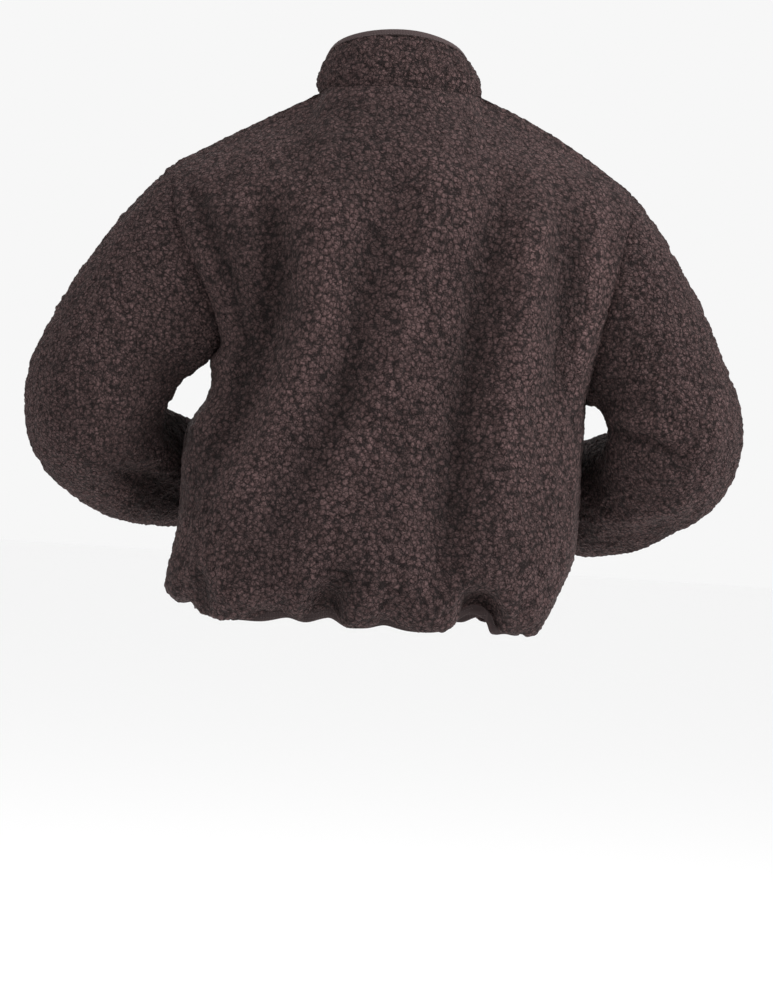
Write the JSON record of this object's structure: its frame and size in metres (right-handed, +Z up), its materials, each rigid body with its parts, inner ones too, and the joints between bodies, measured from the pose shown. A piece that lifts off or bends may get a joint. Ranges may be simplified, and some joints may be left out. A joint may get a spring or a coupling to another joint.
{
  "type": "sherpa zip jacket",
  "caption": "Dark brown sherpa fleece jacket with a stand collar, full front zip and gathered elastic hem, worn and empty.",
  "frame": {"origin": "middle of the neck opening, at the height of the collar seam at the back", "axes": "+X towards the wearer's left, +Y towards the back, +Z up; the front faces -Y"},
  "size_m": [0.7817, 0.3757, 0.6436],
  "materials": {
    "fleece": "matte",
    "binding": "matte",
    "zip_tape": "matte",
    "zip_teeth": "satin",
    "zip_metal": "satin"
  },
  "bodies": {
    "jacket": {"back": "fleece", "front_left": "fleece", "front_right": "fleece", "sleeve_left": "fleece", "sleeve_right": "fleece", "collar": "fleece", "collar_binding": "binding", "hem_binding": "binding", "cuff_binding_left": "binding", "cuff_binding_right": "binding", "zip_tape_left": "zip_tape", "zip_tape_right": "zip_tape", "zip_chain": "zip_teeth", "zip_slider": "zip_metal", "zip_box": "zip_metal", "zip_stop_left": "zip_metal", "zip_stop_right": "zip_metal"},
    "pull_tab": {"zip_pull": "zip_metal"}
  },
  "joints": [
    {"name": "pull_tab_hinge", "type": "hinge", "parent": "jacket", "child": "pull_tab", "pos_m": [0, -0.0795, -0.00581], "axis": [-1, 0, 0], "range_deg": [0, 165]}
  ]
}
